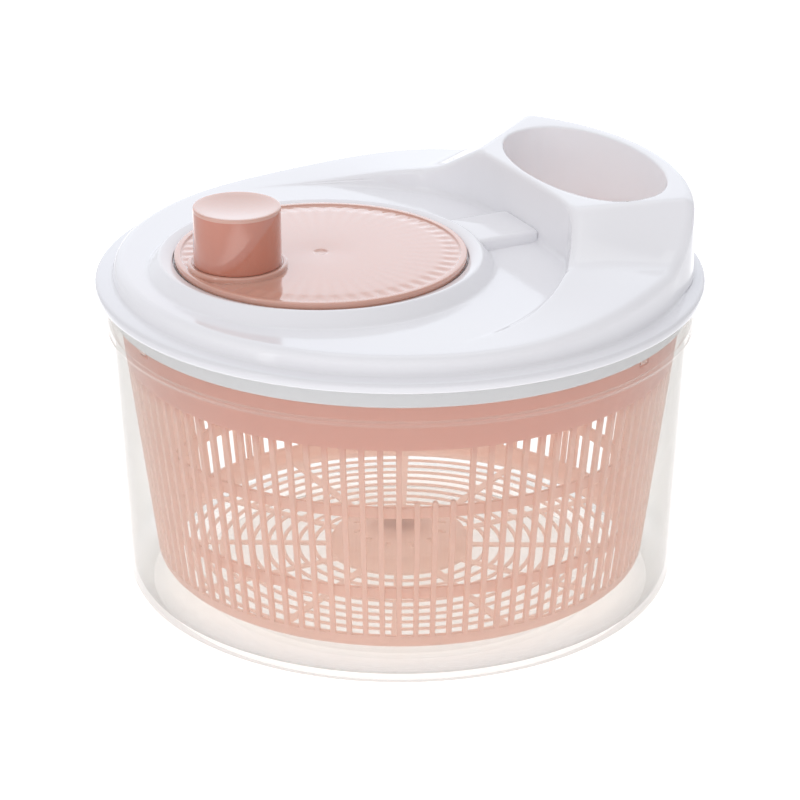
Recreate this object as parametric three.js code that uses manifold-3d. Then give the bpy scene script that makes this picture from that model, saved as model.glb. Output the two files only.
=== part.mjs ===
// Salad spinner: a clear bowl, a basket that turns in it, and a lid with a geared crank and a pouring hump.
// Millimetres, +Z up. The origin is the centre of the bowl's base, on the axis that the basket turns about.
// The crank disc stands off that axis towards -X, and the hump with the pouring opening stands at +X.
import * as THREE from 'three';
import { mergeVertices } from 'three/addons/utils/BufferGeometryUtils.js';
import Module from 'manifold-3d';

const wasm = await Module();
wasm.setup();

// ---- driving dimensions -------------------------------------------------------------------------------

const GAP = 0.3; // between faces that rest on each other
const RUN = 0.35; // radial clearance of what turns
const ROUND = 48; // facets round a large piece
const SMALL_ROUND = 16; // facets round a small one

const BOWL = {
  baseRadius: 113.85,
  draft: 0.052,
  wall: 2,
  floorUnder: 1.6,
  floorTop: 3.6,
  corner: 10,
  footInner: 85.5,
  footOuter: 103.8,
  shoulderZ: 115.4,
  collarRadius: 122.3,
  rimZ: 131.4,
  coneRadius: 13,
  pinRadius: 5,
  pinFootZ: 9.5,
  pinTopZ: 16,
};

const BUSH = { radius: 8, topZ: 19 };

const BASKET = {
  floorZ: 11,
  floorRadius: 101.1,
  draft: 0.132,
  wall: 2,
  floor: 2.2,
  corner: 7,
  rimZ: 124,
  bandZ: 103,
  slots: 36,
  slotWidth: 12.5,
  slotFootZ: 18,
  hoops: [37, 74],
  hoopHeight: 5,
  hoopDepth: 1.7,
  hubRadius: 30,
  hubTopZ: 18.5,
  spokes: 12,
  spokeWidth: 4,
  grille: [34, 93],
  grilleRows: 2,
  grilleRib: 3.5,
  windowAngle: -109,
  cutSpan: [90, 125],
};

const LID = {
  floorZ: 143,
  shell: 2.2,
  flangeRadius: 125,
  flangeTopZ: 135.6,
  lipZ: 131.4,
  crownRadius: 117.6,
  crownFlat: 112.6,
  skirtRadius: 119.5,
  skirtInner: 117.7,
  skirtZ: 125.2,
};

const CRANK = {
  x: -36,
  radius: 59.4,
  undersideZ: 146.6,
  plateZ: 149,
  rimZ: 149.8,
  rimWidth: 2.4,
  hubRadius: 6,
  hexRadius: 5.4,
};

const WELL = {
  radius: 60.7,
  floorZ: 142,
  underZ: 139.9,
  lipZ: 146,
  rimRadius: 65.8,
  rimZ: 149,
  footRadius: 70.6,
};

const KNOB = { offset: 37, radius: 17.6, footZ: 151.6, topZ: 175, dish: 2.4, stem: 5, collarRadius: 20.2 };

const HUMP = {
  recessRadius: 101,
  faceX: 57.5,
  join: 5,
  bandRise: 6.2,
  bandSpan: [50, 95],
  topZ: 167,
  flankTurn: 21,
  flankSpan: [20, 52],
  tilt: 0.05,
  crown: 0.08,
  halfAngle: 100,
  hollowHalfAngle: 84,
};

const CHUTE = { x: 86, halfX: 27, halfY: 49.5, topZ: 178, footZ: 137, taper: 0.8, wall: 2.2 };

const PAD = { halfWidth: 14, startX: 30, topZ: 148, wall: 2 };

const JOURNAL = { radius: 2.7, bore: 3.05 };

const GEAR = {
  module: 1.5,
  pressure: THREE.MathUtils.degToRad(20),
  driveTeeth: 36,
  pinionTeeth: 12,
  shift: 0.3,
  backlash: 0.25,
  footZ: 134,
  topZ: 139.5,
};

const COVER = { minX: -76, maxX: 22, halfY: 33.5, corner: 14, underZ: 128.2, plate: 2, wall: 2 };
const POSTS = [
  [-68, 22],
  [-68, -22],
  [14, 20],
  [14, -20],
];
const POST = { radius: 4, footZ: 132.5, boss: 5.2, recess: 3.2, recessTopZ: 130.4, pilot: 1.4 };

const DRIVER = {
  underZ: 124.9,
  topZ: 127.8,
  hub: 12,
  arms: 3,
  armWidth: 12,
  reach: 115.4,
  pegDepth: 1.8,
  pegWidth: 5,
};

const PINION = { shaft: 5, hex: 4.6, bore: 1.6 };

const SCREW = { shaft: 1.6, head: 3.3, headHeight: 1.7, slotWidth: 0.7, washer: 7.5, washerHeight: 0.8 };
const COVER_SCREW = { shaft: 1.1, head: 2.8, headHeight: 1.5 };
const DRIVER_SCREW = { shaft: 1.3, head: 3, headHeight: SCREW.headHeight };

// ---- helpers --------------------------------------------------------------------------------------------

const radians = THREE.MathUtils.degToRad;

// A closed geometry with its shared vertices merged becomes a solid that can be joined and cut.
function solid(geometry) {
  const bare = geometry.index ? geometry.toNonIndexed() : geometry;
  bare.deleteAttribute('normal');
  bare.deleteAttribute('uv');
  const merged = mergeVertices(bare, 1e-4);
  const corners = merged.index.array;
  const kept = [];
  for (let i = 0; i < corners.length; i += 3) {
    const [a, b, c] = corners.slice(i, i + 3);
    if (a !== b && b !== c && c !== a) {
      kept.push(a, b, c);
    }
  }
  const vertProperties = new Float32Array(merged.attributes.position.array);
  const triVerts = new Uint32Array(kept);
  return new wasm.Manifold(new wasm.Mesh({ numProp: 3, vertProperties, triVerts }));
}

// A profile of [radius, z] points turned about the vertical line through (x, y).
function turned(profile, { x = 0, y = 0, facets = ROUND, start = 0 } = {}) {
  const points = profile.map(([radius, z]) => new THREE.Vector2(radius, z));
  const geometry = new THREE.LatheGeometry(points, facets, start);
  geometry.rotateX(Math.PI / 2);
  geometry.translate(x, y, 0);
  const body = solid(geometry);
  return body.volume() < 0 ? solid(flipped(geometry)) : body;
}

function flipped(geometry) {
  const copy = geometry.clone();
  const index = copy.index.array;
  for (let i = 0; i < index.length; i += 3) {
    [index[i], index[i + 1]] = [index[i + 1], index[i]];
  }
  return copy;
}

function cylinder(radius, lowZ, highZ, { x = 0, y = 0, facets = SMALL_ROUND } = {}) {
  const geometry = new THREE.CylinderGeometry(radius, radius, highZ - lowZ, facets);
  geometry.rotateX(Math.PI / 2);
  geometry.translate(x, y, (lowZ + highZ) / 2);
  return solid(geometry);
}

// An upright elliptical cone: full size at its top, tapered towards its foot.
function ellipticCone(halfX, halfY, taper, lowZ, highZ, x) {
  const geometry = new THREE.CylinderGeometry(1, taper, highZ - lowZ, 32);
  geometry.rotateX(Math.PI / 2);
  geometry.scale(halfX, halfY, 1);
  geometry.translate(x, 0, (lowZ + highZ) / 2);
  return solid(geometry);
}

function box(lowX, highX, lowY, highY, lowZ, highZ, turn = 0) {
  const geometry = new THREE.BoxGeometry(highX - lowX, highY - lowY, highZ - lowZ);
  geometry.translate((lowX + highX) / 2, (lowY + highY) / 2, (lowZ + highZ) / 2);
  geometry.rotateZ(turn);
  return solid(geometry);
}

function extruded(shape, lowZ, highZ, { x = 0, turn = 0, curveSegments = 6 } = {}) {
  const settings = { depth: highZ - lowZ, bevelEnabled: false, curveSegments };
  const geometry = new THREE.ExtrudeGeometry(shape, settings);
  geometry.rotateZ(turn);
  geometry.translate(x, 0, lowZ);
  return solid(geometry);
}

const joined = (...bodies) => bodies.reduce((sum, body) => sum.add(body));
const cut = (body, ...tools) => tools.reduce((rest, tool) => rest.subtract(tool), body);

// Points on a quarter turn between two directions, for rounded corners of a profile.
function arc(centreR, centreZ, radius, fromDegrees, toDegrees, steps) {
  return Array.from({ length: steps + 1 }, (_, i) => {
    const angle = radians(fromDegrees + ((toDegrees - fromDegrees) * i) / steps);
    return [centreR + radius * Math.cos(angle), centreZ + radius * Math.sin(angle)];
  });
}

const part = new THREE.Group();

const LOOKS = {
  clear: { color: 0xf2f4f5, roughness: 0.06, metalness: 0, transparent: true, opacity: 0.3 },
  pink: { color: 0xe3aaa0, roughness: 0.38, metalness: 0 },
  white: { color: 0xf4f5f8, roughness: 0.2, metalness: 0 },
  nylon: { color: 0xe9e8e2, roughness: 0.5, metalness: 0 },
  steel: { color: 0xb9bcc0, roughness: 0.3, metalness: 1 },
};

function addPiece(name, body, look) {
  const mesh = body.getMesh();
  const geometry = new THREE.BufferGeometry();
  geometry.setAttribute('position', new THREE.BufferAttribute(new Float32Array(mesh.vertProperties), 3));
  geometry.setIndex(new THREE.BufferAttribute(new Uint32Array(mesh.triVerts), 1));
  geometry.computeVertexNormals();
  const piece = new THREE.Mesh(geometry, new THREE.MeshStandardMaterial(LOOKS[look]));
  piece.name = name;
  part.add(piece);
}

// ---- bowl ------------------------------------------------------------------------------------------------

const bowlRadius = (z) => BOWL.baseRadius + BOWL.draft * z;

// One skin: a drafted wall, a shoulder, a collar that holds the lid, a foot ring and a hollow centre pin.
function outerBowl() {
  const { wall, corner, shoulderZ, rimZ, collarRadius, floorUnder, floorTop } = BOWL;
  const footEdge = bowlRadius(corner) - corner;
  const inside = collarRadius - wall;
  return turned([
    [0, BOWL.pinTopZ - 3.8],
    [BOWL.pinRadius - wall, BOWL.pinTopZ - 3.8],
    [BOWL.pinRadius - wall, BOWL.pinFootZ - wall],
    [BOWL.coneRadius - 4, floorUnder],
    [BOWL.footInner - floorUnder, floorUnder],
    [BOWL.footInner, 0],
    ...arc(footEdge, corner, corner, -90, 0, 4),
    [bowlRadius(shoulderZ), shoulderZ],
    [collarRadius, shoulderZ + 2.6],
    [collarRadius, rimZ],
    [inside, rimZ],
    [inside, shoulderZ + 3.2],
    [bowlRadius(shoulderZ) - wall, shoulderZ + 0.8],
    ...arc(footEdge, corner + floorTop - wall, corner - wall, 0, -90, 3),
    [BOWL.coneRadius, floorTop],
    [BOWL.pinRadius + 3, BOWL.pinFootZ],
    [BOWL.pinRadius, BOWL.pinFootZ],
    [BOWL.pinRadius, BOWL.pinTopZ],
    [0, BOWL.pinTopZ],
  ]);
}

// A cap that sits over the bowl's pin, and that the basket turns on.
function pivotBush() {
  const bore = BOWL.pinRadius + RUN;
  const foot = BOWL.pinFootZ + GAP;
  const ceiling = BOWL.pinTopZ + GAP;
  return turned(
    [
      [0, ceiling],
      [bore, ceiling],
      [bore, foot],
      [BUSH.radius, foot],
      [BUSH.radius, BUSH.topZ],
      [0, BUSH.topZ],
    ],
    { facets: SMALL_ROUND * 2 },
  );
}

// ---- basket ----------------------------------------------------------------------------------------------

const basketRadius = (z) => BASKET.floorRadius + BASKET.draft * (z - BASKET.floorZ);
const slotPitch = (2 * Math.PI) / BASKET.slots;

function basketBlank() {
  const { floorZ, floor, wall, rimZ, hubRadius, hubTopZ, corner } = BASKET;
  const cornerZ = floorZ + corner;
  const cornerRadius = basketRadius(cornerZ) - corner;
  const socket = BUSH.radius + RUN;
  const socketTop = BUSH.topZ + GAP;
  const socketFoot = BOWL.pinFootZ + 0.8;
  const under = hubTopZ - floor;
  return turned(
    [
      [0, socketTop + 2],
      [socket + 1.2, socketTop + 2],
      [socket + 3.6, hubTopZ],
      [hubRadius - 4, hubTopZ],
      [hubRadius, floorZ + floor],
      ...arc(cornerRadius, cornerZ, corner - floor, -90, 0, 3),
      [basketRadius(rimZ) - wall, rimZ],
      [basketRadius(rimZ), rimZ],
      ...arc(cornerRadius, cornerZ, corner, 0, -90, 3),
      [hubRadius - 0.6, floorZ],
      [hubRadius - 4.6, under],
      [socket + 2.2, under],
      [socket + 2.2, socketFoot],
      [socket, socketFoot],
      [socket, socketTop],
      [0, socketTop],
    ],
    { facets: BASKET.slots, start: slotPitch / 2 },
  );
}

function hoop(z) {
  const half = BASKET.hoopHeight / 2;
  const { wall, hoopDepth } = BASKET;
  const outer = (height) => basketRadius(height) - wall + GAP;
  const inner = (height) => basketRadius(height) - wall - hoopDepth;
  return turned(
    [
      [inner(z - half), z - half],
      [outer(z - half), z - half],
      [outer(z + half), z + half],
      [inner(z + half), z + half],
      [inner(z - half), z - half],
    ],
    { facets: BASKET.slots, start: slotPitch / 2 },
  );
}

// The slots end at the plain band under the rim, and at the bottom ring.
function wallSlots() {
  const half = BASKET.slotWidth / 2;
  return Array.from({ length: BASKET.slots }, (_, i) =>
    box(...BASKET.cutSpan, -half, half, BASKET.slotFootZ, BASKET.bandZ, i * slotPitch),
  );
}

// Over the upper hoop one bar is left out, which makes a wide window under the plain band.
function barWindow() {
  const half = slotPitch * (basketRadius(BASKET.bandZ) / 2) + BASKET.slotWidth / 2;
  const turn = (Math.round(radians(BASKET.windowAngle) / slotPitch) + 0.5) * slotPitch;
  return box(...BASKET.cutSpan, -half, half, BASKET.hoops[1] + BASKET.hoopHeight / 2, BASKET.bandZ, turn);
}

// Curved openings in the floor, between rings and spokes.
function grilleOpenings() {
  const [inner, outer] = BASKET.grille;
  const row = (outer - inner + BASKET.grilleRib) / BASKET.grilleRows;
  const openings = [];
  for (let r = 0; r < BASKET.grilleRows; r += 1) {
    const low = inner + r * row;
    const high = low + row - BASKET.grilleRib;
    const sector = new THREE.Shape();
    const clear = (radius) => Math.PI / BASKET.spokes - BASKET.spokeWidth / 2 / radius;
    sector.absarc(0, 0, high, -clear(high), clear(high), false);
    sector.absarc(0, 0, low, clear(low), -clear(low), true);
    for (let s = 0; s < BASKET.spokes; s += 1) {
      const turn = ((s + 0.5) * 2 * Math.PI) / BASKET.spokes;
      openings.push(extruded(sector, BASKET.floorZ - 1, BASKET.floorZ + 3, { turn, curveSegments: 3 }));
    }
  }
  return openings;
}

const armAngle = (index) => radians(60) + (index * 2 * Math.PI) / DRIVER.arms;

// Notches in the rim take the pegs of the driver's arms.
function rimNotches() {
  const half = DRIVER.pegWidth / 2 + 0.5;
  const foot = BASKET.rimZ - 6;
  const [low, high] = BASKET.cutSpan;
  return Array.from({ length: DRIVER.arms }, (_, i) =>
    box(low, high, -half, half, foot, BASKET.rimZ + 1, armAngle(i)),
  );
}

function basket() {
  const pierced = cut(basketBlank(), ...wallSlots(), ...grilleOpenings(), ...rimNotches());
  return joined(cut(pierced, barWindow()), ...BASKET.hoops.map(hoop));
}

// ---- lid -------------------------------------------------------------------------------------------------

// The height of the lid's outer band: a slow rise towards the hump, then a flank that climbs to the hump's top.
// The flank's creases are straight lines, turned from the X axis by flankTurn, and flankSpan is their distances.
function bandTop(angle, radius) {
  const { clamp, smoothstep, radToDeg } = THREE.MathUtils;
  const turn = Math.abs(angle);
  const band = 1 - smoothstep(radToDeg(turn), ...HUMP.bandSpan);
  const across = turn < Math.PI / 2 ? radius * Math.sin(turn - radians(HUMP.flankTurn)) : Infinity;
  const flank = clamp((HUMP.flankSpan[1] - across) / (HUMP.flankSpan[1] - HUMP.flankSpan[0]), 0, 1);
  const climb = flank < 0.5 ? (flank * flank) / 0.75 : (flank - 0.25) / 0.75;
  const low = LID.floorZ + 0.5 + (HUMP.bandRise + HUMP.crown * (LID.crownRadius - radius)) * band;
  const high = HUMP.topZ + HUMP.tilt * (radius * Math.cos(angle) - HUMP.faceX);
  return low + (high - low) * climb;
}

// The recess round the crank is a circle about the crank's axis, with a straight face before the hump.
function recessEdge(angle) {
  const across = CRANK.x * Math.cos(angle);
  const circle = across + Math.sqrt(across ** 2 + HUMP.recessRadius ** 2 - CRANK.x ** 2);
  const straight = Math.cos(angle) > 0.1 ? HUMP.faceX / Math.cos(angle) : Infinity;
  const overlap = Math.max(HUMP.join - Math.abs(circle - straight), 0);
  return Math.min(circle, straight) - overlap ** 2 / (4 * HUMP.join);
}

// A solid swept round the axis, whose section is a polygon of [radius, z] that changes with the angle.
function sweptRound(section, halfAngle, steps) {
  const positions = [];
  const index = [];
  let count = 0;
  for (let i = 0; i <= steps; i += 1) {
    const angle = radians(-halfAngle + (2 * halfAngle * i) / steps);
    const ring = section(angle);
    count = ring.length;
    for (const [radius, z] of ring) {
      positions.push(radius * Math.cos(angle), radius * Math.sin(angle), z);
    }
  }
  for (let i = 0; i < steps; i += 1) {
    for (let k = 0; k < count; k += 1) {
      const next = (k + 1) % count;
      const [a, b] = [i * count + k, i * count + next];
      const [c, d] = [a + count, b + count];
      index.push(a, c, d, a, d, b);
    }
  }
  const last = steps * count;
  for (let k = 1; k < count - 1; k += 1) {
    index.push(0, k, k + 1);
    index.push(last, last + k + 1, last + k);
  }
  const geometry = new THREE.BufferGeometry();
  geometry.setAttribute('position', new THREE.Float32BufferAttribute(positions, 3));
  geometry.setIndex(index);
  return solid(geometry);
}

// The raised crescent that runs round the recess and grows into the hump.
function crescent(footZ) {
  const { crownRadius, crownFlat } = LID;
  const section = (angle) => {
    const inner = recessEdge(angle);
    const top = bandTop(angle, crownFlat);
    return [
      [inner, footZ],
      [crownRadius, footZ],
      [crownRadius - 0.3, top - 4.5],
      [crownRadius - 1.6, top - 1.3],
      [crownFlat, top],
      [inner, bandTop(angle, inner)],
    ];
  };
  return sweptRound(section, HUMP.halfAngle, 48);
}

// The hollow under the crescent leaves a skin of even thickness.
function crescentHollow() {
  const { shell, floorZ, crownFlat, crownRadius } = LID;
  const section = (angle) => {
    const inner = recessEdge(angle) + shell;
    const top = bandTop(angle, crownFlat) - shell;
    return [
      [inner, floorZ - shell - 1],
      [crownRadius - shell - 0.6, floorZ - 6],
      [crownRadius - shell - 0.4, top - 3.2],
      [crownRadius - shell - 1.6, top - 0.9],
      [crownFlat - 0.8, top],
      [inner, bandTop(angle, inner) - shell],
    ];
  };
  return sweptRound(section, HUMP.hollowHalfAngle, 40);
}

function lidBlank() {
  const { floorZ, shell, crownFlat, crownRadius, flangeRadius, flangeTopZ, lipZ } = LID;
  const { skirtRadius, skirtInner, skirtZ } = LID;
  return turned([
    [0, floorZ],
    [crownFlat, floorZ],
    [crownRadius - 1.6, floorZ - 1.3],
    [crownRadius - 0.3, floorZ - 4.5],
    [crownRadius + 0.5, flangeTopZ + 0.6],
    [flangeRadius - 1.4, flangeTopZ],
    [flangeRadius, flangeTopZ - 1.2],
    [flangeRadius, lipZ],
    [flangeRadius - 1.6, lipZ],
    [flangeRadius - 2, lipZ + GAP],
    [skirtRadius, lipZ + GAP],
    [skirtRadius, skirtZ],
    [skirtInner, skirtZ],
    [skirtInner - 1, flangeTopZ - 2],
    [crownRadius - shell - 0.6, floorZ - 5.5],
    [crownFlat - 1, floorZ - shell],
    [0, floorZ - shell],
  ]);
}

// A round platform surrounds the well that the crank disc turns in. Its rim slopes up from the well's lip.
function platform() {
  const { radius, lipZ, rimRadius, rimZ, footRadius, underZ } = WELL;
  return turned(
    [
      [radius, underZ],
      [radius + 3, underZ],
      [footRadius, LID.floorZ - 1],
      [rimRadius + 1.6, rimZ - 2],
      [rimRadius, rimZ],
      [rimRadius - 1.2, rimZ],
      [radius + 0.4, lipZ],
      [radius, lipZ - 0.4],
      [radius, underZ],
    ],
    { x: CRANK.x },
  );
}

function lidPosts() {
  return POSTS.map(([x, y]) =>
    cut(
      cylinder(POST.radius, POST.footZ, LID.floorZ - 1, { x, y }),
      cylinder(POST.pilot, POST.footZ - 1, LID.floorZ - 5, { x, y, facets: 12 }),
    ),
  );
}

function lidShell() {
  const sleeve = CRANK.hubRadius + RUN;
  const wellOpen = cylinder(WELL.radius, WELL.floorZ, WELL.rimZ + 3, { x: CRANK.x, facets: ROUND });
  const wellFloor = cylinder(WELL.radius + 1.5, WELL.underZ, WELL.floorZ, { x: CRANK.x, facets: ROUND });
  const crankSleeve = cylinder(sleeve + 2.4, WELL.underZ, CRANK.undersideZ - 1, { x: CRANK.x });
  const pad = box(PAD.startX, HUMP.faceX + 1, -PAD.halfWidth, PAD.halfWidth, LID.floorZ - 1, PAD.topZ);
  const padInside = PAD.halfWidth - PAD.wall;
  const padHollowTop = PAD.topZ - PAD.wall;
  const padHollow = box(PAD.startX + 5, HUMP.faceX - 3, -padInside, padInside, LID.floorZ - 5, padHollowTop);
  const journal = cylinder(JOURNAL.radius, GEAR.footZ + 2 * GAP, WELL.floorZ - 1, { facets: 12 });

  const shell = cut(joined(lidBlank(), crescent(LID.floorZ - 5)), crescentHollow());
  const { x, halfX, halfY, taper, footZ, topZ, wall } = CHUTE;
  const tube = ellipticCone(halfX + wall, halfY + wall, taper, footZ, topZ, x);
  const chuteWall = tube.intersect(crescent(footZ - 1));
  const raised = joined(shell, chuteWall, pad, platform(), wellFloor);
  const opened = cut(
    raised,
    padHollow,
    wellOpen,
    ellipticCone(halfX, halfY, taper, footZ - 4, topZ, x),
  );
  const fitted = joined(opened, crankSleeve, journal, ...lidPosts());
  return cut(fitted, cylinder(sleeve, WELL.underZ - 1, CRANK.undersideZ, { x: CRANK.x }));
}

// ---- gears -----------------------------------------------------------------------------------------------

const involute = (angle) => Math.tan(angle) - angle;

// The outline of a spur gear with involute flanks; a shift makes one wheel's teeth longer and stronger.
function gearShape(teeth, shift, flankSteps, hole) {
  const pitch = (GEAR.module * teeth) / 2;
  const base = pitch * Math.cos(GEAR.pressure);
  const tip = pitch + GEAR.module * (0.95 + shift);
  const root = pitch - GEAR.module * (1.25 - shift);
  const thickness = (Math.PI / 2 + 2 * shift * Math.tan(GEAR.pressure)) / teeth - GEAR.backlash / 2 / pitch;
  const rolled = (radius) => involute(Math.acos(Math.min(1, base / radius)));
  const halfAngle = (radius) => thickness + involute(GEAR.pressure) - rolled(radius);
  const start = Math.max(base, root);
  const flank = Array.from({ length: flankSteps + 1 }, (_, i) => start + ((tip - start) * i) / flankSteps);
  const radii = root < base ? [root, ...flank] : flank;
  const points = [];
  for (let tooth = 0; tooth < teeth; tooth += 1) {
    const middle = (tooth * 2 * Math.PI) / teeth;
    for (const radius of radii) {
      points.push([radius, middle - halfAngle(Math.max(radius, start))]);
    }
    for (const radius of radii.toReversed()) {
      points.push([radius, middle + halfAngle(Math.max(radius, start))]);
    }
  }
  const shape = new THREE.Shape(points.map(([r, a]) => new THREE.Vector2(r * Math.cos(a), r * Math.sin(a))));
  if (hole) {
    shape.holes.push(hole);
  }
  return shape;
}

function hexagon(radius) {
  const corners = Array.from({ length: 6 }, (_, i) => {
    const angle = (i * Math.PI) / 3;
    return new THREE.Vector2(radius * Math.cos(angle), radius * Math.sin(angle));
  });
  return new THREE.Path(corners);
}

function hexPrism(radius, lowZ, highZ, x = 0) {
  return extruded(new THREE.Shape(hexagon(radius).getPoints()), lowZ, highZ, { x });
}

function driveGear() {
  const shape = gearShape(GEAR.driveTeeth, -GEAR.shift, 2, hexagon(CRANK.hexRadius + RUN));
  return extruded(shape, GEAR.footZ, GEAR.topZ, { x: CRANK.x });
}

// The pinion hangs on the lid's journal and carries the driver on its hexagonal foot.
function pinion() {
  const halfTooth = Math.PI / GEAR.pinionTeeth;
  const outline = gearShape(GEAR.pinionTeeth, GEAR.shift, 3);
  const teeth = extruded(outline, GEAR.footZ, GEAR.topZ - GAP, { turn: halfTooth });
  const shaft = cylinder(PINION.shaft, DRIVER.topZ + GAP, GEAR.footZ + 0.5);
  const foot = hexPrism(PINION.hex, DRIVER.underZ, DRIVER.topZ + 1);
  const journalBore = cylinder(JOURNAL.bore, GEAR.footZ + GAP, GEAR.topZ + 1, { facets: 12 });
  const screwBore = cylinder(PINION.bore, DRIVER.underZ - 1, GEAR.footZ - 1.4, { facets: 12 });
  return cut(joined(teeth, shaft, foot), journalBore, screwBore);
}

// ---- crank -----------------------------------------------------------------------------------------------

const knobX = CRANK.x - KNOB.offset;

function crankDisc() {
  const { radius, undersideZ, plateZ, rimZ, rimWidth, hubRadius, hexRadius, x } = CRANK;
  const plate = turned(
    [
      [0, undersideZ],
      [radius - 1, undersideZ - 0.2],
      [radius, undersideZ + 0.6],
      [radius, rimZ - 0.7],
      [radius - 0.8, rimZ],
      [radius - rimWidth, rimZ],
      [radius - rimWidth - 1, plateZ],
      [0, plateZ],
    ],
    { x },
  );
  const collar = turned(
    [
      [0, plateZ - 1],
      [KNOB.collarRadius, plateZ - 1],
      [KNOB.collarRadius, KNOB.footZ - 1],
      [KNOB.collarRadius - 0.7, KNOB.footZ - GAP],
      [0, KNOB.footZ - GAP],
    ],
    { x: knobX, facets: 32 },
  );
  const hub = cylinder(hubRadius, WELL.underZ, undersideZ + 1, { x });
  const hex = hexPrism(hexRadius, GEAR.footZ + 0.1, WELL.underZ + 1, x);
  return cut(
    joined(plate, collar, hub, hex),
    cylinder(SCREW.shaft + GAP, GEAR.footZ - 1, undersideZ - 1.4, { x, facets: 12 }),
    cylinder(KNOB.stem + RUN, undersideZ - 1, KNOB.footZ + 1, { x: knobX }),
  );
}

// A hollow cap with a dished top and a stem that turns in the crank disc.
function knob() {
  const { radius, footZ, topZ, dish, stem } = KNOB;
  const skin = 2;
  const dishRadius = ((radius - 1.6) ** 2 + dish ** 2) / (2 * dish);
  const dishZ = (r) => topZ - dish + dishRadius - Math.sqrt(dishRadius ** 2 - r ** 2);
  const dished = [0, 6, 11, radius - 1.6].map((r) => [r, dishZ(r)]);
  const stemFoot = CRANK.undersideZ - GAP;
  const pilot = SCREW.shaft + GAP;
  return turned(
    [
      ...dished,
      [radius - 0.5, topZ - 0.3],
      [radius, topZ - 1],
      [radius + 0.2, footZ],
      [radius - skin, footZ],
      [radius - skin - 0.4, topZ - dish - skin],
      [stem, topZ - dish - skin],
      [stem, stemFoot],
      [pilot, stemFoot],
      [pilot, topZ - 14],
      [0, topZ - 14],
    ],
    { x: knobX, facets: 32 },
  );
}

function washer(topZ, x = 0, radius = SCREW.washer) {
  const lowZ = topZ - SCREW.washerHeight;
  return cut(
    cylinder(radius, lowZ, topZ, { x }),
    cylinder(SCREW.shaft + GAP, lowZ - 1, topZ + 1, { x, facets: 12 }),
  );
}

// A pan-head screw that points up, with a crossed recess in its head.
function screw(seatZ, length, { x = 0, y = 0, size = SCREW } = {}) {
  const { shaft, head, headHeight } = size;
  const lowZ = seatZ - headHeight;
  const body = turned(
    [
      [0, lowZ],
      [head - 0.9, lowZ],
      [head, lowZ + 0.7],
      [head, seatZ],
      [shaft, seatZ],
      [shaft, seatZ + length - 1],
      [shaft - 0.6, seatZ + length],
      [0, seatZ + length],
    ],
    { x, y, facets: 12 },
  );
  const arm = head * 0.55;
  const blade = SCREW.slotWidth / 2;
  const slot = (halfX, halfY) => box(x - halfX, x + halfX, y - halfY, y + halfY, lowZ - 1, lowZ + 0.8);
  return cut(body, slot(arm, blade), slot(blade, arm));
}

// ---- gear cover and driver -------------------------------------------------------------------------------

function roundedRectangle(inset) {
  const { minX, maxX, halfY, corner } = COVER;
  const [left, right, half, radius] = [minX + inset, maxX - inset, halfY - inset, corner - inset];
  const shape = new THREE.Shape();
  shape.absarc(right - radius, half - radius, radius, 0, Math.PI / 2, false);
  shape.absarc(left + radius, half - radius, radius, Math.PI / 2, Math.PI, false);
  shape.absarc(left + radius, -half + radius, radius, Math.PI, 1.5 * Math.PI, false);
  shape.absarc(right - radius, -half + radius, radius, 1.5 * Math.PI, 2 * Math.PI, false);
  return shape;
}

// A shallow tray under the gears, screwed up into the lid's four posts.
function gearCover() {
  const { underZ, plate, wall } = COVER;
  const tray = cut(
    extruded(roundedRectangle(0), underZ, GEAR.topZ),
    extruded(roundedRectangle(wall), underZ + plate, GEAR.topZ + 1),
  );
  const bosses = POSTS.map(([x, y]) => cylinder(POST.boss, underZ, POST.footZ - GAP, { x, y }));
  const recesses = POSTS.map(([x, y]) => cylinder(POST.recess, underZ - 1, POST.recessTopZ, { x, y }));
  const holes = POSTS.map(([x, y]) => cylinder(POST.pilot, underZ, POST.footZ, { x, y, facets: 12 }));
  const shaftHole = cylinder(PINION.shaft + RUN, underZ - 1, underZ + plate + 1);
  return cut(joined(tray, ...bosses), ...recesses, ...holes, shaftHole);
}

// Three arms reach over the basket's rim, and a peg at each end drops into a notch.
function driver() {
  const { underZ, topZ, hub, arms, armWidth, reach, pegDepth, pegWidth } = DRIVER;
  const pieces = [cylinder(hub, underZ, topZ, { facets: 36 })];
  for (let i = 0; i < arms; i += 1) {
    pieces.push(box(hub - 3, reach, -armWidth / 2, armWidth / 2, underZ, topZ, armAngle(i)));
    const [pegFoot, pegHalf] = [BASKET.rimZ - 5, pegWidth / 2];
    pieces.push(box(reach - pegDepth, reach, -pegHalf, pegHalf, pegFoot, underZ + 1, armAngle(i)));
  }
  return cut(joined(...pieces), hexPrism(PINION.hex + RUN, underZ - 1, topZ + 1));
}

// ---- assembly --------------------------------------------------------------------------------------------

const gearWasherTop = GEAR.footZ - GAP;
const knobWasherTop = CRANK.undersideZ - 2 * GAP;
const driverWasherTop = DRIVER.underZ - GAP;
const seatUnder = (washerTop) => washerTop - SCREW.washerHeight - GAP;

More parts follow.
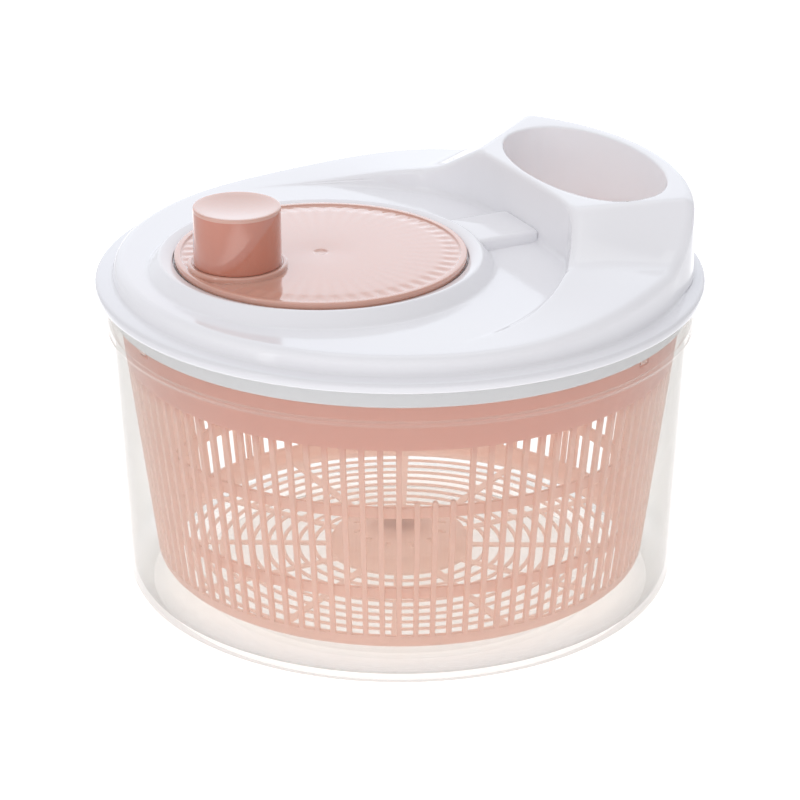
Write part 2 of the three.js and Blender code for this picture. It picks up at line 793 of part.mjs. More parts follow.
addPiece('outer_bowl', outerBowl(), 'clear');
addPiece('pivot_bush', pivotBush(), 'nylon');
addPiece('basket', basket(), 'pink');
addPiece('lid_shell', lidShell(), 'white');
addPiece('gear_cover', gearCover(), 'white');
POSTS.forEach(([x, y], i) => {
  const body = screw(POST.recessTopZ - GAP, 7, { x, y, size: COVER_SCREW });
  addPiece(`cover_screw_${i + 1}`, body, 'steel');
});
addPiece('crank_disc', crankDisc(), 'pink');
addPiece('drive_gear', driveGear(), 'nylon');
addPiece('crank_washer', washer(gearWasherTop, CRANK.x), 'steel');
addPiece('crank_screw', screw(seatUnder(gearWasherTop), 11, { x: CRANK.x }), 'steel');
addPiece('knob', knob(), 'pink');
addPiece('knob_washer', washer(knobWasherTop, knobX), 'steel');
addPiece('knob_screw', screw(seatUnder(knobWasherTop), 13, { x: knobX }), 'steel');
addPiece('pinion', pinion(), 'nylon');
addPiece('driver', driver(), 'white');
addPiece('driver_washer', washer(driverWasherTop, 0, 6), 'steel');
addPiece('driver_screw', screw(seatUnder(driverWasherTop), 8, { size: DRIVER_SCREW }), 'steel');

export default part;
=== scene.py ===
"""Salad spinner: a clear bowl, a pink basket, and a white lid with a crank disc, a knob and a pouring hump.

Lengths in the shape code are millimetres in the CAD frame, and MM turns them into metres. Lengths in the
materials, the stage and the camera are metres.
"""
import math

import bmesh
import bpy
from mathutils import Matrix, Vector

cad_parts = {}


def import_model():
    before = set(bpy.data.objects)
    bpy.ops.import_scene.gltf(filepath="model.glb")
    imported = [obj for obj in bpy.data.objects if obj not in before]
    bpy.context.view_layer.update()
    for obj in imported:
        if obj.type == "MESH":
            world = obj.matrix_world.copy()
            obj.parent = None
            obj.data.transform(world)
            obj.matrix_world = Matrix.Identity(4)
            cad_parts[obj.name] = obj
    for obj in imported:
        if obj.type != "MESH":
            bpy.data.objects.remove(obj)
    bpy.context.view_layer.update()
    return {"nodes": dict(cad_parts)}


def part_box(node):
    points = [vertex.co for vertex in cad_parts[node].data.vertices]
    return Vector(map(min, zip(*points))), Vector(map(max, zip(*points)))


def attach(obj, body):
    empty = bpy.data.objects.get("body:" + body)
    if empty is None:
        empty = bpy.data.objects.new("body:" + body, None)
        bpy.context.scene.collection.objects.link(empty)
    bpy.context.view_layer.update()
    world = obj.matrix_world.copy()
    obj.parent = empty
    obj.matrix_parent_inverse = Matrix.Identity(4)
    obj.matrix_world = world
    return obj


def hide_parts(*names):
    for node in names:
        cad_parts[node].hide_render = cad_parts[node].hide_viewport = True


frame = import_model()

MM = 0.001


def span(node):
    """The lowest and highest corner of a CAD node, in millimetres."""
    low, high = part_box(node)
    return [v / MM for v in low], [v / MM for v in high]


bowl_high = span("outer_bowl")[1]
basket_high = span("basket")[1]
lid_low, lid_high = span("lid_shell")
disc_low, disc_high = span("crank_disc")
knob_low, knob_high = span("knob")

CRANK_X = (disc_low[0] + disc_high[0]) / 2
KNOB_X = (knob_low[0] + knob_high[0]) / 2


# ---- mesh helpers ---------------------------------------------------------------------------------------

def rounded(corners, steps=5, closed=True):
    """Turns corners (x, y, fillet) into a line of points with an arc of steps + 1 points at each fillet."""
    out = []
    count = len(corners)
    for i, corner in enumerate(corners):
        fillet = corner[2] if len(corner) > 2 else 0
        point = Vector(corner[:2])
        if not fillet or (not closed and i in (0, count - 1)):
            out.append((point.x, point.y))
            continue
        back = Vector(corners[i - 1][:2]) - point
        on = Vector(corners[(i + 1) % count][:2]) - point
        half = back.angle(on) / 2
        cut = min(fillet / math.tan(half), back.length * 0.49, on.length * 0.49)
        radius = cut * math.tan(half)
        centre = point + (back.normalized() + on.normalized()).normalized() * (radius / math.sin(half))
        first = point + back.normalized() * cut - centre
        last = point + on.normalized() * cut - centre
        start = math.atan2(first.y, first.x)
        turn = (math.atan2(last.y, last.x) - start + math.pi) % (2 * math.pi) - math.pi
        for k in range(steps + 1):
            angle = start + turn * k / steps
            out.append((centre.x + radius * math.cos(angle), centre.y + radius * math.sin(angle)))
    return out


def smooth_step(value, low, high):
    """A smooth step from 0 at low to 1 at high."""
    t = min(max((value - low) / (high - low), 0), 1)
    return t * t * (3 - 2 * t)


def quarter(steps):
    """The angles of a quarter turn, in radians, from 0 on."""
    return [math.radians(90 * k / steps) for k in range(steps + 1)]


class Skin:
    """Points and faces of one mesh, with helpers for rings of points."""

    def __init__(self):
        self.points = []
        self.faces = []

    def add(self, x, y, z):
        self.points.append((x * MM, y * MM, z * MM))
        return len(self.points) - 1

    def flat_place(self, index):
        """The x and y of a point, in millimetres."""
        return self.points[index][0] / MM, self.points[index][1] / MM

    def quad(self, *corners):
        """A face. Corners that are one point, as at a pole, are merged."""
        ring = []
        for c in corners:
            if c not in ring:
                ring.append(c)
        if len(ring) > 2:
            self.faces.append(ring)

    def strip(self, one, two):
        """A closed band of faces between two rings."""
        count = len(one)
        for i in range(count):
            k = (i + 1) % count
            self.quad(one[i], one[k], two[k], two[i])

    def turned(self, profile, centre=(0, 0), segments=96, closed=True, dip=None):
        """Turns a line of (radius, z) points about a vertical line; a point on the axis becomes a pole.

        dip tells how far a point is pushed down, from its place in the profile and its angle.
        """
        rings = []
        for index, (radius, z) in enumerate(profile):
            if radius < 1e-6:
                rings.append([self.add(centre[0], centre[1], z)] * segments)
                continue
            ring = []
            for k in range(segments):
                angle = 2 * math.pi * k / segments
                x, y = centre[0] + radius * math.cos(angle), centre[1] + radius * math.sin(angle)
                ring.append(self.add(x, y, z - dip(index, angle) if dip else z))
            rings.append(ring)
        for one, two in zip(rings, rings[1:] + rings[:1] if closed else rings[1:]):
            self.strip(one, two)

    def prism(self, outline, low, high):
        """A closed prism over a closed outline of (x, y) points."""
        foot = [self.add(x, y, low) for x, y in outline]
        head = [self.add(x, y, high) for x, y in outline]
        self.strip(foot, head)
        self.faces.append(list(foot))
        self.faces.append(list(head))

    def build(self, name, material, body, nodes, sharp=35, bevel=0.0, bevel_angle=50):
        """Makes the object, which rides on a body and takes the place of CAD nodes."""
        mesh = bpy.data.meshes.new(name)
        mesh.from_pydata(self.points, [], self.faces)
        bm = bmesh.new()
        bm.from_mesh(mesh)
        loose = [v for v in bm.verts if not v.link_faces]
        bmesh.ops.delete(bm, geom=loose, context="VERTS")
        bmesh.ops.recalc_face_normals(bm, faces=bm.faces)
        bm.to_mesh(mesh)
        bm.free()
        mesh.polygons.foreach_set("use_smooth", [True] * len(mesh.polygons))
        if not bevel:
            mesh.set_sharp_from_angle(angle=math.radians(sharp))
        mesh.materials.append(material)
        piece = bpy.data.objects.new(name, mesh)
        bpy.context.scene.collection.objects.link(piece)
        if bevel:
            edges = piece.modifiers.new("edges", "BEVEL")
            edges.width = bevel * MM
            edges.segments = 2
            edges.limit_method = "ANGLE"
            edges.angle_limit = math.radians(bevel_angle)
            edges.use_clamp_overlap = True
            even = piece.modifiers.new("even", "WEIGHTED_NORMAL")
            even.keep_sharp = False
        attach(piece, body)
        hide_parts(*nodes)


# ---- node helpers ---------------------------------------------------------------------------------------

class Graph:
    """The nodes of a material or a world, with short calls for the kinds that repeat."""

    def __init__(self, owner):
        owner.use_nodes = True
        self.owner = owner
        self.nodes = owner.node_tree.nodes

    def add(self, kind, **settings):
        node = self.nodes.new("ShaderNode" + kind)
        for name, value in settings.items():
            setattr(node, name, value)
        return node

    def feed(self, socket, value):
        """Links a socket to another node's output, or gives it a plain value."""
        if isinstance(value, bpy.types.NodeSocket):
            self.owner.node_tree.links.new(value, socket)
        else:
            socket.default_value = value

    def math(self, operation, *values):
        node = self.add("Math", operation=operation)
        for socket, value in zip(node.inputs, values):
            self.feed(socket, value)
        return node.outputs["Value"]

    def length(self, vector):
        node = self.add("VectorMath", operation="LENGTH")
        self.feed(node.inputs[0], vector)
        return node.outputs["Value"]

    def noise(self, vector, scale, detail):
        node = self.add("TexNoise")
        self.feed(node.inputs["Vector"], vector)
        self.feed(node.inputs["Scale"], scale)
        self.feed(node.inputs["Detail"], detail)
        return node.outputs["Fac"]

    def fade(self, value, span_from, span_to=(0, 1), smooth=False):
        """A value that goes from one end of span_to to the other as the input crosses span_from."""
        node = self.add("MapRange", interpolation_type="SMOOTHSTEP" if smooth else "LINEAR")
        self.feed(node.inputs["Value"], value)
        self.feed(node.inputs["From Min"], span_from[0])
        self.feed(node.inputs["From Max"], span_from[1])
        self.feed(node.inputs["To Min"], span_to[0])
        self.feed(node.inputs["To Max"], span_to[1])
        return node.outputs["Result"]

    def blend(self, factor, one, two):
        """A colour between two others."""
        node = self.add("Mix", data_type="RGBA")
        self.feed(node.inputs["Factor"], factor)
        self.feed(node.inputs["A"], one)
        self.feed(node.inputs["B"], two)
        return node.outputs["Result"]


class Look(Graph):
    """A material round one Principled shader."""

    def __init__(self, name):
        super().__init__(bpy.data.materials.new(name))
        self.shader = self.nodes["Principled BSDF"]
        self.place = self.add("TexCoord").outputs["Object"]

    def height_and_distance(self):
        """The height above the CAD origin, and the distance from the basket's axis."""
        parts = self.add("SeparateXYZ")
        self.feed(parts.inputs["Vector"], self.place)
        flat = self.add("CombineXYZ")
        self.feed(flat.inputs["X"], parts.outputs["X"])
        self.feed(flat.inputs["Y"], parts.outputs["Y"])
        return parts.outputs["Z"], self.length(flat.outputs["Vector"])

    def base(self):
        return self.shader.inputs["Base Color"].links[0].from_socket

    def tint(self, factor, colour):
        """Blends the base colour towards another one."""
        self.feed(self.shader.inputs["Base Color"], self.blend(factor, self.base(), colour))

    def mix_shaders(self, factor, one, two):
        mix = self.add("MixShader")
        self.feed(mix.inputs["Fac"], factor)
        self.feed(mix.inputs[1], one.outputs["BSDF"])
        self.feed(mix.inputs[2], two.outputs["BSDF"])
        self.feed(self.nodes["Material Output"].inputs["Surface"], mix.outputs["Shader"])


# ---- materials ------------------------------------------------------------------------------------------

# Where a look changes with height or with distance from the axis: the start and the end of each fade.
BOWL_FOOT_DISTANCE = (0.094, 0.106)
BOWL_FOOT_HEIGHT = (0.022, 0.008)
# The basket's band takes painted shade below the lid, and its floor and hub take painted light.
BASKET_SHADED_BAND_HEIGHT = (0.098, 0.104)
BASKET_LIT_FLOOR_DISTANCE = (0.098, 0.094)
# Where the painted light on the knob's dished top starts and ends.
KNOB_LIT_TOP_HEIGHT = (0.1734, 0.1736)
# Where the painted shade on the lid's lower edge starts and ends.
LID_SHADED_EDGE_HEIGHT = (0.1362, 0.1345)

# How much of the bowl's skin reflects, seen face on and at its silhouette, and how late it grows between.
BOWL_SKIN_SHARE = (0.05, 0.7)
BOWL_SKIN_POWER = 2.8
BOWL_WALL_TINT = (0.972, 0.974, 0.968, 1)
BOWL_FOOT_TINT = (0.905, 0.91, 0.912, 1)
# How much of the basket's light comes through it instead of off it.
BASKET_GLOW_SHARE = 0.65


def linear(red, green, blue):
    """A screen colour from 0 to 255 as a linear colour."""
    def one(value):
        value /= 255
        return value / 12.92 if value <= 0.04045 else ((value + 0.055) / 1.055) ** 2.4
    return (one(red), one(green), one(blue), 1.0)


def mottle(look, light, dark, scale, rough, bump=0.0, bump_scale=900.0):
    """Moulded plastic: slow colour drift, uneven gloss and a very fine skin texture."""
    drift = look.add("ValToRGB")
    low, high = drift.color_ramp.elements[0], drift.color_ramp.elements[1]
    low.position = 0.3
    low.color = dark
    high.position = 0.7
    high.color = light
    look.feed(drift.inputs["Fac"], look.noise(look.place, scale, 3))
    look.feed(look.shader.inputs["Base Color"], drift.outputs["Color"])
    wear = look.noise(look.place, scale * 6, 4)
    look.feed(look.shader.inputs["Roughness"], look.fade(wear, (0.3, 0.7), rough))
    if bump:
        relief = look.add("Bump")
        relief.inputs["Strength"].default_value = bump
        relief.inputs["Distance"].default_value = 0.0002
        look.feed(relief.inputs["Height"], look.noise(look.place, bump_scale, 2))
        look.feed(look.shader.inputs["Normal"], relief.outputs["Normal"])


def clear_plastic():
    """Thin clear plastic: see-through face on, with a skin that reflects and greys towards its edges."""
    look = Look("clear_plastic")
    mottle(look, linear(190, 189, 183), linear(184, 183, 178), 9, (0.04, 0.07), 0.01, 60)
    look.shader.inputs["IOR"].default_value = 1.5
    # The rounded foot is the thickest part, and the greyest.
    height, distance = look.height_and_distance()
    outside = look.fade(distance, BOWL_FOOT_DISTANCE, smooth=True)
    below = look.fade(height, BOWL_FOOT_HEIGHT, smooth=True)
    see = look.add("BsdfTransparent")
    tint = look.blend(look.math("MULTIPLY", outside, below), BOWL_WALL_TINT, BOWL_FOOT_TINT)
    look.feed(see.inputs["Color"], tint)
    edge = look.add("LayerWeight")
    edge.inputs["Blend"].default_value = 0.5
    late = look.math("POWER", edge.outputs["Facing"], BOWL_SKIN_POWER)
    share = look.fade(late, (0, 1), BOWL_SKIN_SHARE)
    # The plastic is thin enough to let light through without a shadow.
    seen = look.math("SUBTRACT", 1, look.add("LightPath").outputs["Is Shadow Ray"])
    look.mix_shaders(look.math("MULTIPLY", share, seen), see, look.shader)
    return look.owner


def pink_translucent():
    """Thin pink plastic that lets a good part of the light behind it through."""
    look = Look("pink_translucent")
    mottle(look, linear(252, 230, 220), linear(250, 226, 215), 22, (0.22, 0.3), 0.02)
    look.shader.inputs["IOR"].default_value = 1.45
    # The floor and the hub are painted paler, as painted light coming through them, and the band at the top
    # is deeper, partly for its thicker plastic and partly as painted shade under the lid.
    height, distance = look.height_and_distance()
    # Painted light: the floor and the hub are lighter than the wall.
    look.tint(look.fade(distance, BASKET_LIT_FLOOR_DISTANCE), linear(254, 238, 230))
    # Painted shade, together with the thicker plastic: the band is deeper in colour.
    look.tint(look.fade(height, BASKET_SHADED_BAND_HEIGHT), linear(243, 207, 196))
    glow = look.add("BsdfTranslucent")
    look.feed(glow.inputs["Color"], look.base())
    look.mix_shaders(BASKET_GLOW_SHARE, look.shader, glow)
    return look.owner


def pink_satin(name, light, dark, rough, coat, lit_top=None):
    """Glossy pink plastic. The last argument is a paler colour painted on a dished top as painted light
    where the top faces the light, for a part that has one.
    """
    look = Look(name)
    shader = look.shader
    mottle(look, light, dark, 26, rough, 0.02)
    if lit_top:
        # Painted light: the dished top is paler where it faces the light.
        look.tint(look.fade(look.height_and_distance()[0], KNOB_LIT_TOP_HEIGHT), lit_top)
    shader.inputs["Coat Weight"].default_value = coat
    shader.inputs["Coat Roughness"].default_value = 0.04
    shader.inputs["Coat IOR"].default_value = 1.7
    shader.inputs["Subsurface Weight"].default_value = 0.15
    shader.inputs["Subsurface Radius"].default_value = (1.0, 0.5, 0.35)
    shader.inputs["Subsurface Scale"].default_value = 0.002
    shader.inputs["IOR"].default_value = 1.5
    return look.owner


def white_plastic(name, light, dark, rough, bump, shaded_edge=None):
    """White plastic. The last argument is a darker colour painted on its lower edge as painted shade, for a
    part that has one.
    """
    look = Look(name)
    mottle(look, light, dark, 14, rough, bump)
    if shaded_edge:
        # Painted shade: the flange and the skirt below the crown are darker.
        look.tint(look.fade(look.height_and_distance()[0], LID_SHADED_EDGE_HEIGHT), shaded_edge)
    look.shader.inputs["IOR"].default_value = 1.5
    return look.owner


def steel():
    """Plain steel for the screws and washers."""
    look = Look("steel")
    mottle(look, linear(200, 202, 205), linear(176, 178, 182), 160, (0.2, 0.36), 0.05, 1600)
    look.shader.inputs["Metallic"].default_value = 1.0
    return look.owner


CLEAR = clear_plastic()
BASKET_PINK = pink_translucent()
DISC_PINK = pink_satin("pink_disc", linear(214, 164, 146), linear(212, 161, 143), (0.06, 0.09), 0.9)
# The knob's last colour is painted light on its dished top.
KNOB_PINK = pink_satin(
    "pink_knob", linear(203, 133, 112), linear(201, 130, 109), (0.08, 0.11), 0.8, linear(214, 168, 152),
)
# The lid's last colour is painted shade on its lower edge.
WHITE_GLOSS = white_plastic(
    "white_gloss", linear(242, 242, 245), linear(240, 240, 244), (0.08, 0.11), 0.01, linear(222, 222, 226),
)
WHITE_SATIN = white_plastic("white_satin", linear(243, 243, 245), linear(238, 238, 241), (0.3, 0.42), 0.05)
NYLON = white_plastic("nylon", linear(233, 231, 223), linear(225, 222, 212), (0.42, 0.55), 0.06)
STEEL = steel()

LEFT_AS_CAD = {
    "pivot_bush": NYLON,
    "gear_cover": WHITE_SATIN,
    "drive_gear": NYLON,
    "pinion": NYLON,
    "driver": DISC_PINK,
}
for node, obj in frame["nodes"].items():
    finish = LEFT_AS_CAD.get(node)
    if finish is None and ("screw" in node or "washer" in node):
        finish = STEEL
    if finish is not None:
        obj.data.materials.clear()
        obj.data.materials.append(finish)


# ---- bowl -----------------------------------------------------------------------------------------------

COLLAR_R = bowl_high[0]
RIM_Z = bowl_high[2]
SHOULDER_Z = RIM_Z - 16
BOWL_BASE_R = 113.85
BOWL_DRAFT = 0.052
BOWL_WALL = 2.0
BOWL_FLOOR_Z = 3.6


def side_radius(z):
    """The outer radius of the bowl's wall at a height."""
    return BOWL_BASE_R + BOWL_DRAFT * z


def bowl():
    """A thin bowl with a foot ring, a wider collar under the lid and a hollow pin in its floor."""
    inside = COLLAR_R - BOWL_WALL
    # From under the pin out to the foot, up the outside, over the rim and down the inside to the pin's top.
    profile = rounded([
        (0, 12.2),
        (3, 12.2, 0.6),
        (3, 7.5, 0.6),
        (9, 1.6, 2),
        (83.9, 1.6, 1),
        (85.5, 0, 0.6),
        (side_radius(0), 0, 10),
        (side_radius(SHOULDER_Z), SHOULDER_Z, 1.5),
        (COLLAR_R, SHOULDER_Z + 2.6, 2),
        (COLLAR_R, RIM_Z, 0.6),
        (inside, RIM_Z, 0.6),
        (inside, SHOULDER_Z + 3.2, 1.2),
        (side_radius(SHOULDER_Z) - BOWL_WALL, SHOULDER_Z + 0.8, 1.2),
        (side_radius(BOWL_FLOOR_Z) - BOWL_WALL, BOWL_FLOOR_Z, 8),
        (13, BOWL_FLOOR_Z, 2),
        (8, 9.5, 0.8),
        (5, 9.5, 0.4),
        (5, 16, 0.8),
        (0, 16),
    ], steps=7, closed=False)
    skin = Skin()
    skin.turned(profile, segments=216, closed=False)
    skin.build("bowl_clear", CLEAR, "bowl", ["outer_bowl"], sharp=50)


# ---- basket ---------------------------------------------------------------------------------------------

BARS = 96
BAR_PITCH = 360 / BARS
BAR_SHARE = 0.31
BAR_PHASE = -0.95
SPOKES = 12
SPOKE_WIDTH = 3.6
SPOKE_PHASE = 1.8
SPOKE_SHIFT = 2
BASKET_DRAFT = 0.132
FLOOR_Z = 11.0
FLOOR_TOP = 11.9
CORNER = 7.0
CORNER_STEPS = 7
BASKET_WALL = 2.0
HOOP_DEPTH = 1.7
HOOPS = (37.0, 74.0)
HOOP_HALF = 2.5
BAND_Z = 103.0
BASKET_RIM = basket_high[2]
BASKET_FOOT_R = 101.1
GRILLE = (31.0, 94.0)
GRILLE_ROWS = 10
GRILLE_GAP = 4.7
HUB_HOLE_COLUMNS = (7, 8, 9, 10)
# These bars stop in narrow tips above the upper hoop, which leaves a window under the band.
WINDOW_BARS = (-30, -29, -28)
STUB_SHOULDER = 2.4
STUB_TIP = 3.3
STUB_TIP_SHARE = 0.45
NOTCH_BARS = (16, 48, 80)
NOTCH_DEPTH = 6.0

# The hub: a boss with the socket for the pivot bush, then a low dome. Each row gives what lies between the
# row before and this one, and a point (radius, z) of the underside and of the top.
HUB = [
    ("hub", (0, 19.3), (0, 21.1)),
    ("hub", (8.35, 19.3), (8.8, 21.0)),
    ("hub", (8.35, 10.3), (10, 20.9)),
    ("hub", (10.55, 10.3), (11.6, 20.6)),
    ("hub", (10.55, 17.6), (13, 20.3)),
    ("hub", (17, 17.4), (17, 19.7)),
    ("hub_holes", (20, 17.0), (20, 19.2)),
    ("hub", (25, 16.2), (25.4, 18.2)),
    ("hub", (26.6, 14.6), (27.6, 16.8)),
    ("hub", (28.6, 11.4), (29.4, 13.7)),
    ("hub", (30, FLOOR_Z), (30.4, FLOOR_TOP)),
]


def basket_radius(z):
    """The outer radius of the basket's wall at a height."""
    return BASKET_FOOT_R + BASKET_DRAFT * (z - FLOOR_Z)


def basket_rows():
    """Rows (kind, share, under, top, deep) from the hub to the rim. The share turns spokes into bars."""
    rows = [(kind, 0, under, top, top) for kind, under, top in HUB]
    low, high = GRILLE
    pitch = (high - low - GRILLE_GAP) / (GRILLE_ROWS - 1)
    for k in range(GRILLE_ROWS):
        for kind, radius in (("ring", low + pitch * k), ("gap", low + pitch * k + GRILLE_GAP)):
            rows.append((kind, 0, (radius, FLOOR_Z), (radius, FLOOR_TOP), (radius, FLOOR_TOP)))

    corner_z = FLOOR_Z + CORNER
    corner_r = basket_radius(corner_z) - CORNER
    for k in range(CORNER_STEPS + 1):
        share = k / CORNER_STEPS
        angle = math.radians(-90 + 90 * k / CORNER_STEPS)
        levels = [
            (corner_r + radius * math.cos(angle), corner_z + radius * math.sin(angle))
            for radius in (CORNER, CORNER - BASKET_WALL, CORNER - BASKET_WALL - HOOP_DEPTH)
        ]
        rows.append(("corner", share, *levels))

    lower, upper = HOOPS
    for kind, z in (
        ("slots", corner_z + 0.01 + (lower - HOOP_HALF - corner_z) * 0.5),
        ("slots", lower - HOOP_HALF),
        ("hoop", lower + HOOP_HALF),
        ("slots", upper - HOOP_HALF),
        ("hoop", upper + HOOP_HALF),
        ("slots", upper + HOOP_HALF + STUB_SHOULDER),
        ("stub_tip", upper + HOOP_HALF + STUB_TIP),
        ("window", BAND_Z),
        ("band", BASKET_RIM - NOTCH_DEPTH),
        ("notched", BASKET_RIM),
    ):
        radius = basket_radius(z)
        inner = radius - BASKET_WALL
        rows.append((kind, 1, (radius, z), (inner, z), (inner - HOOP_DEPTH, z)))
    return rows


def basket():
    """One sheet of plastic, pierced by the slots of the wall and the rings of the floor."""
    columns = 2 * BARS
    per_sector = columns // SPOKES
    rows = basket_rows()

    def floor_angle(line, radius):
        """The angle in degrees of a column in the floor, where the first cell of a sector is a spoke."""
        sector, place = divmod(line - SPOKE_SHIFT, per_sector)
        # The hub's columns keep the angles of the innermost ring, so they run straight in.
        half = math.degrees(math.asin(SPOKE_WIDTH / 2 / max(radius, GRILLE[0])))
        step = 360 / SPOKES
        if place == 0:
            local = -half
        else:
            local = half + (step - 2 * half) * (place - 1) / (per_sector - 1)
        return sector * step + SPOKE_PHASE + local

    def wall_angle(line):
        """The angle in degrees of a column in the wall, where every second cell is a bar."""
        bar, edge = divmod(line, 2)
        half = BAR_PITCH * BAR_SHARE / 2
        return bar * BAR_PITCH + BAR_PHASE + (half if edge else -half)

    skin = Skin()
    window = {(2 * bar) % columns for bar in WINDOW_BARS}
    window_cells = {
        cell % columns for cell in range(2 * WINDOW_BARS[0] - 1, 2 * WINDOW_BARS[-1] + 2)
    }
    notch_cells = {(2 * bar + k) % columns for bar in NOTCH_BARS for k in (0, 1)}

    points = []
    for kind, share, *places in rows:
        levels = []
        for radius, z in places:
            if radius < 1e-6:
                levels.append([skin.add(0, 0, z)] * columns)
                continue
            ring = []
            for line in range(columns):
                spoke = floor_angle(line, radius)
                angle = spoke + (wall_angle(line) - spoke) * share
                bar = line // 2
                if kind == "stub_tip" and 2 * bar in window:
                    middle = bar * BAR_PITCH + BAR_PHASE
                    angle = middle + (angle - middle) * STUB_TIP_SHARE
                angle = math.radians(angle)
                ring.append(skin.add(radius * math.cos(angle), radius * math.sin(angle), z))
            levels.append(ring)
        points.append(levels)

    def slabs(r, c):
        """Which of the two layers are solid in the cell between rows r and r + 1, columns c and c + 1."""
        if r >= len(rows) - 1:
            return (False, False)
        kind = rows[r + 1][0]
        place = (c - SPOKE_SHIFT) % per_sector
        bar = c % 2 == 0
        if kind == "hub_holes":
            return (place not in HUB_HOLE_COLUMNS, False)
        if kind == "gap":
            return (place == 0, False)
        if kind in ("slots", "stub_tip"):
            return (bar, False)
        if kind == "hoop":
            return (bar, True)
        if kind == "window":
            return (bar and c not in window_cells, False)
        if kind == "notched":
            return (c not in notch_cells, False)
        return (True, False)

    for r in range(len(rows) - 1):
        one, two = points[r], points[r + 1]
        for c in range(columns):
            k = (c + 1) % columns
            here = slabs(r, c)
            side = slabs(r, k)
            ahead = slabs(r + 1, c)
            solid_at_level = (here[0], here[0] != here[1], here[1])
            for level, solid in enumerate(solid_at_level):
                if solid:
                    skin.quad(one[level][c], one[level][k], two[level][k], two[level][c])
            for slab in (0, 1):
                if here[slab] != side[slab]:
                    skin.quad(one[slab][k], two[slab][k], two[slab + 1][k], one[slab + 1][k])
                if here[slab] != ahead[slab]:
                    skin.quad(two[slab][c], two[slab][k], two[slab + 1][k], two[slab + 1][c])
    skin.build("basket_pierced", BASKET_PINK, "basket", ["basket"], bevel=0.35)


# ---- lid ------------------------------------------------------------------------------------------------

LID_Z = 143.0
SHELL = 2.2
UNDER_Z = LID_Z - SHELL
CROWN_FLAT = 112.6
CROWN_R = 117.5
CROWN_DROP = 4.4
CROWN_FOOT_Z = 135.8
CROWN_BULGE = 2.6
CEILING_R = 113.2
FLANGE_R = lid_high[0]
SKIRT_Z = lid_low[2] - 1.6
RECESS_R = 100.3
RECESS_LIMIT = 111.0
FACE_X = 57.0
HUMP_TOP = 167.0
HUMP_TILT = 0.05
# The front and the back flank of the hump: the turn of the crease, and how far it is from the lid's axis.
FLANK_TURN = {-1: math.radians(21), 1: math.radians(35)}
FLANK_OFFSET = {-1: 0.0, 1: 21.0}
FLANK_SPAN = (20.0, 52.0)
# The flank's profile is a parabola, then a straight slope, and a soft crest.
FLANK_CURVE = 0.75
CREST_SOFT = 0.05
BAND_RISE = 6.2
BAND_SPAN = (50.0, 95.0)
BAND_CROWN = 0.08
# The band steps down by a little between these polar angles, in degrees.
STEP_RISE = 0.5
STEP_SPAN = (85, 105)
PLATFORM_FOOT = 73.0
PLATFORM_HOLE_Z = 139.9
# Past the reach of any part of the lid.
FAR = 1e3

CHUTE_X = 86.5
CHUTE_HALF = (25.8, 50.5)
CHUTE_FOOT_Z = 137.0
CHUTE_WALL_Z = 164
CHUTE_TAPER = 0.14
CHUTE_WALL = 0.8
CHUTE_RIM = 0.9
# How square the opening is: towards the crank, and away from it.
CHUTE_SQUARE = (0.82, 0.95)

# How many steps a column of the grid takes over each part of the lid.
FLOOR_ROWS = 5
BAND_ROWS = 8
CROWN_ROWS = 7
ARC_ROWS = 5

# The wall from the recess up to the band: how far the crest's rounding runs out, and how high it is.
CREST_SIZES = {"hump": (2.0, 2.4), "flank": (3.8, 3.4), "rest": (2.2, 2.2)}
# The rounded foot of that wall, and how much of a low wall its curves may take up.
WALL_FOOT = 2.5
CURVE_SHARE = 0.45
# How much narrower the wall gets between these polar angles, in degrees.
NARROW_BY = 0.7
NARROW_SPAN = (95, 122)
# Distances from the crease line, where the steep wall, the bulge and the flank's rounding end.
STEEP_END = 24
BULGE_END = 48
FLANK_END = 50

# The top of the lid's middle, as (radius, z, fillet) about the crank's axis.
PLATFORM = rounded([
    (6.35, PLATFORM_HOLE_Z),
    (6.35, 145.4, 0.4),
    (8.75, 145.4, 0.4),
    (8.75, 142, 0.8),
    (57.5, 142, 1.2),
    (58.2, 145.7, 0.6),
    (60.1, 145.7, 0.2),
    (60.1, 147.3, 0.4),
    (65.6, 149.2, 1.6),
    (70.6, LID_Z, 3),
    (PLATFORM_FOOT, LID_Z),
], steps=4, closed=False)
# The lid's edge, as (radius, z, fillet) about the lid's axis.
FLANGE = rounded([
    (CROWN_R + 0.1, 138.0),
    (CROWN_R + 0.3, 135.9, 1.4),
    (FLANGE_R, 135.5, 1.5),
    (FLANGE_R, 131.4, 0.8),
    (122.9, 131.6, 0.3),
    (119.5, 131.7, 0.6),
    (119.5, SKIRT_Z, 0.4),
    (117.7, SKIRT_Z, 0.4),
    (117.7, 131, 1),
    (116.4, 133.8, 1),
    (115.6, 137.6),
], steps=4, closed=False)


def flank_climb(across):
    """How far up the hump's flank a point is: 0 at the foot, 1 at the crest."""
    t = (FLANK_SPAN[1] - across) / (FLANK_SPAN[1] - FLANK_SPAN[0])
    if t <= 0:
        return 0
    if t < 0.5:
        return t * t / FLANK_CURVE
    if t < 1 - CREST_SOFT:
        return (t - 0.25) / FLANK_CURVE
    if t < 1 + CREST_SOFT:
        return 1 - (1 + CREST_SOFT - t) ** 2 / (4 * CREST_SOFT) / FLANK_CURVE
    return 1


